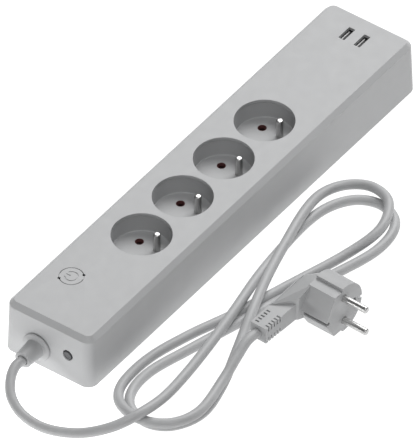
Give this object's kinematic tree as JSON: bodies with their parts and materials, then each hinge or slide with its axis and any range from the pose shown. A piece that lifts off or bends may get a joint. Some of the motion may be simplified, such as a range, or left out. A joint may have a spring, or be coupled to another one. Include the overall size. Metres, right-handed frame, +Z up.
{
  "type": "smart power strip",
  "caption": "Light grey smart power strip: a long housing with round recessed mains sockets, USB ports, power and reset buttons, and a looped cord with an angled plug.",
  "frame": {"origin": "under the middle of the housing, on the surface that its feet stand on", "axes": "+X along the housing towards the USB ports, +Y across it, away from the cord's loops, +Z up out of the sockets"},
  "size_m": [0.4121, 0.1864, 0.042],
  "materials": {
    "shell": "satin light grey, fine moulded grain",
    "insert": "satin light grey",
    "plug_plastic": "soft light grey PVC",
    "cord_sheath": "smooth light grey PVC sheath",
    "dark_plastic": "dark plastic",
    "button_grey": "dark grey plastic",
    "light_window": "smoked light window",
    "shutter": "dark red-brown plastic",
    "foot_rubber": "grey rubber",
    "nickel": "nickel-plated brass",
    "brass": "plain brass strip",
    "steel": "zinc-plated steel",
    "circuit_board": "green solder mask",
    "relay_case": "blue moulded case",
    "capacitor_can": "black sleeve",
    "usb_metal": "tin-plated shell",
    "usb_plastic": "light grey tongue"
  },
  "bodies": {
    "root": {"top_cover": "shell", "base_plate": "shell", "base_screw_1": "steel", "base_screw_2": "steel", "base_screw_3": "steel", "base_screw_4": "steel", "foot_1": "foot_rubber", "foot_2": "foot_rubber", "foot_3": "foot_rubber", "foot_4": "foot_rubber", "socket_insert_1": "insert", "earth_pin_1": "nickel", "shutter_spring_1": "steel", "live_contact_1": "brass", "socket_insert_2": "insert", "earth_pin_2": "nickel", "shutter_spring_2": "steel", "live_contact_2": "brass", "socket_insert_3": "insert", "earth_pin_3": "nickel", "shutter_spring_3": "steel", "live_contact_3": "brass", "socket_insert_4": "insert", "earth_pin_4": "nickel", "shutter_spring_4": "steel", "live_contact_4": "brass", "neutral_busbar": "brass", "earth_busbar": "brass", "tact_switch": "dark_plastic", "status_light_1": "light_window", "status_light_2": "light_window", "control_board": "circuit_board", "relay_1": "relay_case", "relay_2": "relay_case", "relay_3": "relay_case", "relay_4": "relay_case", "transformer": "dark_plastic", "wifi_module": "circuit_board", "capacitor": "capacitor_can", "usb_board": "circuit_board", "usb_shell_1": "usb_metal", "usb_shell_2": "usb_metal", "usb_tongue_1": "usb_plastic", "usb_tongue_2": "usb_plastic", "breaker_body": "dark_plastic", "strain_relief": "cord_sheath", "cord_clamp": "dark_plastic", "cord": "cord_sheath", "plug_body": "plug_plastic", "plug_pin_1": "nickel", "plug_pin_2": "nickel", "plug_earth_clip_1": "nickel", "plug_earth_clip_2": "nickel", "plug_earth_socket": "dark_plastic"},
    "power_button": {"power_button": "shell"},
    "reset_button": {"reset_button": "button_grey"},
    "shutter_1": {"shutter_1": "shutter"},
    "shutter_2": {"shutter_2": "shutter"},
    "shutter_3": {"shutter_3": "shutter"},
    "shutter_4": {"shutter_4": "shutter"}
  },
  "joints": [
    {"name": "power_button_press", "type": "slide", "parent": "root", "child": "power_button", "axis": [0, 0, -1], "range_m": [0, 0.0005], "stiffness_N_per_m": 3000},
    {"name": "reset_button_press", "type": "slide", "parent": "root", "child": "reset_button", "axis": [1, 0, 0], "range_m": [0, 0.0015], "stiffness_N_per_m": 1500},
    {"name": "shutter_1_turn", "type": "hinge", "parent": "root", "child": "shutter_1", "pos_m": [-0.0768, 0, 0.0226], "axis": [0, 0, 1], "range_deg": [0, 45], "stiffness_Nm_per_rad": 0.003},
    {"name": "shutter_2_turn", "type": "hinge", "parent": "root", "child": "shutter_2", "pos_m": [-0.0318, 0, 0.0226], "axis": [0, 0, 1], "range_deg": [0, 45], "stiffness_Nm_per_rad": 0.003},
    {"name": "shutter_3_turn", "type": "hinge", "parent": "root", "child": "shutter_3", "pos_m": [0.0132, 0, 0.0226], "axis": [0, 0, 1], "range_deg": [0, 45], "stiffness_Nm_per_rad": 0.003},
    {"name": "shutter_4_turn", "type": "hinge", "parent": "root", "child": "shutter_4", "pos_m": [0.0582, 0, 0.0226], "axis": [0, 0, 1], "range_deg": [0, 45], "stiffness_Nm_per_rad": 0.003}
  ]
}
